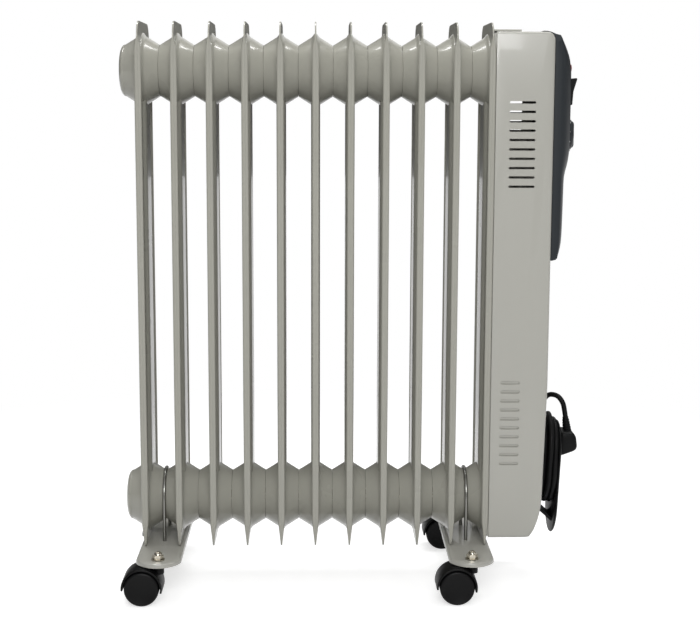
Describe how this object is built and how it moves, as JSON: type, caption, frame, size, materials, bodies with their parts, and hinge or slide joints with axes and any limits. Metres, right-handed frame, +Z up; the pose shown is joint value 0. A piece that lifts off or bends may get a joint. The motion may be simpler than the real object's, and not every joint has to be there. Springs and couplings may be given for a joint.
{
  "type": "oil filled radiator heater",
  "caption": "Free-standing oil filled radiator on swivel casters: a row of pressed steel fins with an end casing that holds its controls and its wound mains cord.",
  "frame": {"origin": "on the floor, at the middle of the heater's bounding box without its cord", "axes": "+Z up; +X along the row of fins, towards the control casing; +Y across the fins, away from the side with the caster nuts in plain view"},
  "size_m": [0.5143, 0.24, 0.6255],
  "materials": {
    "fin_paint": "glossy pale warm grey enamel",
    "casing_paint": "semi-gloss pale warm grey enamel",
    "panel_plastic": "satin dark slate, fine grain",
    "black_plastic": "satin black",
    "cord_rubber": "smooth black sheath",
    "zinc": "zinc plated, faintly yellow",
    "bare_steel": "plain zinc-plated steel",
    "lens": "clear red moulding",
    "pin_metal": "nickel-plated brass",
    "white_plastic": "off-white moulding"
  },
  "bodies": {
    "heater": {"fin_01": "fin_paint", "fin_02": "fin_paint", "fin_03": "fin_paint", "fin_04": "fin_paint", "fin_05": "fin_paint", "fin_06": "fin_paint", "fin_07": "fin_paint", "fin_08": "fin_paint", "fin_09": "fin_paint", "fin_10": "fin_paint", "fin_11": "fin_paint", "upper_end_cap": "fin_paint", "lower_end_cap": "fin_paint", "upper_casing_side_cap": "fin_paint", "element_plug": "bare_steel", "heating_element": "bare_steel", "casing_cover": "casing_paint", "casing_back": "casing_paint", "casing_top_strap": "casing_paint", "foot_plate_left": "casing_paint", "foot_plate_right": "casing_paint", "control_panel": "panel_plastic", "cord_store": "panel_plastic", "thermostat": "white_plastic", "switch_body": "black_plastic", "pilot_lamp_lens": "lens", "thermal_cutout": "bare_steel", "terminal_block": "white_plastic", "cord_winding": "cord_rubber", "cord_lead": "cord_rubber", "cord_tail": "cord_rubber", "cord_gland": "black_plastic", "plug": "black_plastic", "plug_pin_1": "pin_metal", "plug_pin_2": "pin_metal", "ubolt_left": "bare_steel", "ubolt_right": "bare_steel", "ubolt_nut_left_front": "bare_steel", "ubolt_nut_left_rear": "bare_steel", "ubolt_nut_right_front": "bare_steel", "ubolt_nut_right_rear": "bare_steel"},
    "knob": {"thermostat_knob": "panel_plastic"},
    "rocker_1": {"rocker_switch_1": "black_plastic"},
    "rocker_2": {"rocker_switch_2": "black_plastic"},
    "caster_left_front": {"caster_hood_left_front": "black_plastic", "caster_stem_left_front": "zinc"},
    "wheel_left_front_outer": {"wheel_left_front_outer": "black_plastic"},
    "wheel_left_front_inner": {"wheel_left_front_inner": "black_plastic"},
    "caster_left_rear": {"caster_hood_left_rear": "black_plastic", "caster_stem_left_rear": "zinc"},
    "wheel_left_rear_outer": {"wheel_left_rear_outer": "black_plastic"},
    "wheel_left_rear_inner": {"wheel_left_rear_inner": "black_plastic"},
    "caster_right_front": {"caster_hood_right_front": "black_plastic", "caster_stem_right_front": "zinc"},
    "wheel_right_front_outer": {"wheel_right_front_outer": "black_plastic"},
    "wheel_right_front_inner": {"wheel_right_front_inner": "black_plastic"},
    "caster_right_rear": {"caster_hood_right_rear": "black_plastic", "caster_stem_right_rear": "zinc"},
    "wheel_right_rear_outer": {"wheel_right_rear_outer": "black_plastic"},
    "wheel_right_rear_inner": {"wheel_right_rear_inner": "black_plastic"}
  },
  "joints": [
    {"name": "thermostat_turn", "type": "hinge", "parent": "heater", "child": "knob", "pos_m": [0.24585, 0, 0.505], "axis": [-1, 0, 0], "range_deg": [0, 270]},
    {"name": "rocker_1_rock", "type": "hinge", "parent": "heater", "child": "rocker_1", "pos_m": [0.24325, -0.013, 0.553], "axis": [0, -1, 0], "range_deg": [0, 20]},
    {"name": "rocker_2_rock", "type": "hinge", "parent": "heater", "child": "rocker_2", "pos_m": [0.24325, 0.013, 0.553], "axis": [0, -1, 0], "range_deg": [0, 20]},
    {"name": "caster_left_front_swivel", "type": "hinge", "parent": "heater", "child": "caster_left_front", "pos_m": [-0.2068, -0.102, 0], "axis": [0, 0, 1], "continuous": true},
    {"name": "wheel_left_front_outer_roll", "type": "hinge", "parent": "caster_left_front", "child": "wheel_left_front_outer", "pos_m": [-0.2238, -0.102, 0.019], "axis": [0, 1, 0], "continuous": true},
    {"name": "wheel_left_front_inner_roll", "type": "hinge", "parent": "caster_left_front", "child": "wheel_left_front_inner", "pos_m": [-0.2238, -0.102, 0.019], "axis": [0, 1, 0], "continuous": true},
    {"name": "caster_left_rear_swivel", "type": "hinge", "parent": "heater", "child": "caster_left_rear", "pos_m": [-0.2068, 0.102, 0], "axis": [0, 0, 1], "continuous": true},
    {"name": "wheel_left_rear_outer_roll", "type": "hinge", "parent": "caster_left_rear", "child": "wheel_left_rear_outer", "pos_m": [-0.2238, 0.102, 0.019], "axis": [0, 1, 0], "continuous": true},
    {"name": "wheel_left_rear_inner_roll", "type": "hinge", "parent": "caster_left_rear", "child": "wheel_left_rear_inner", "pos_m": [-0.2238, 0.102, 0.019], "axis": [0, 1, 0], "continuous": true},
    {"name": "caster_right_front_swivel", "type": "hinge", "parent": "heater", "child": "caster_right_front", "pos_m": [0.1352, -0.102, 0], "axis": [0, 0, 1], "continuous": true},
    {"name": "wheel_right_front_outer_roll", "type": "hinge", "parent": "caster_right_front", "child": "wheel_right_front_outer", "pos_m": [0.1182, -0.102, 0.019], "axis": [0, 1, 0], "continuous": true},
    {"name": "wheel_right_front_inner_roll", "type": "hinge", "parent": "caster_right_front", "child": "wheel_right_front_inner", "pos_m": [0.1182, -0.102, 0.019], "axis": [0, 1, 0], "continuous": true},
    {"name": "caster_right_rear_swivel", "type": "hinge", "parent": "heater", "child": "caster_right_rear", "pos_m": [0.1352, 0.102, 0], "axis": [0, 0, 1], "continuous": true},
    {"name": "wheel_right_rear_outer_roll", "type": "hinge", "parent": "caster_right_rear", "child": "wheel_right_rear_outer", "pos_m": [0.1182, 0.102, 0.019], "axis": [0, 1, 0], "continuous": true},
    {"name": "wheel_right_rear_inner_roll", "type": "hinge", "parent": "caster_right_rear", "child": "wheel_right_rear_inner", "pos_m": [0.1182, 0.102, 0.019], "axis": [0, 1, 0], "continuous": true}
  ]
}
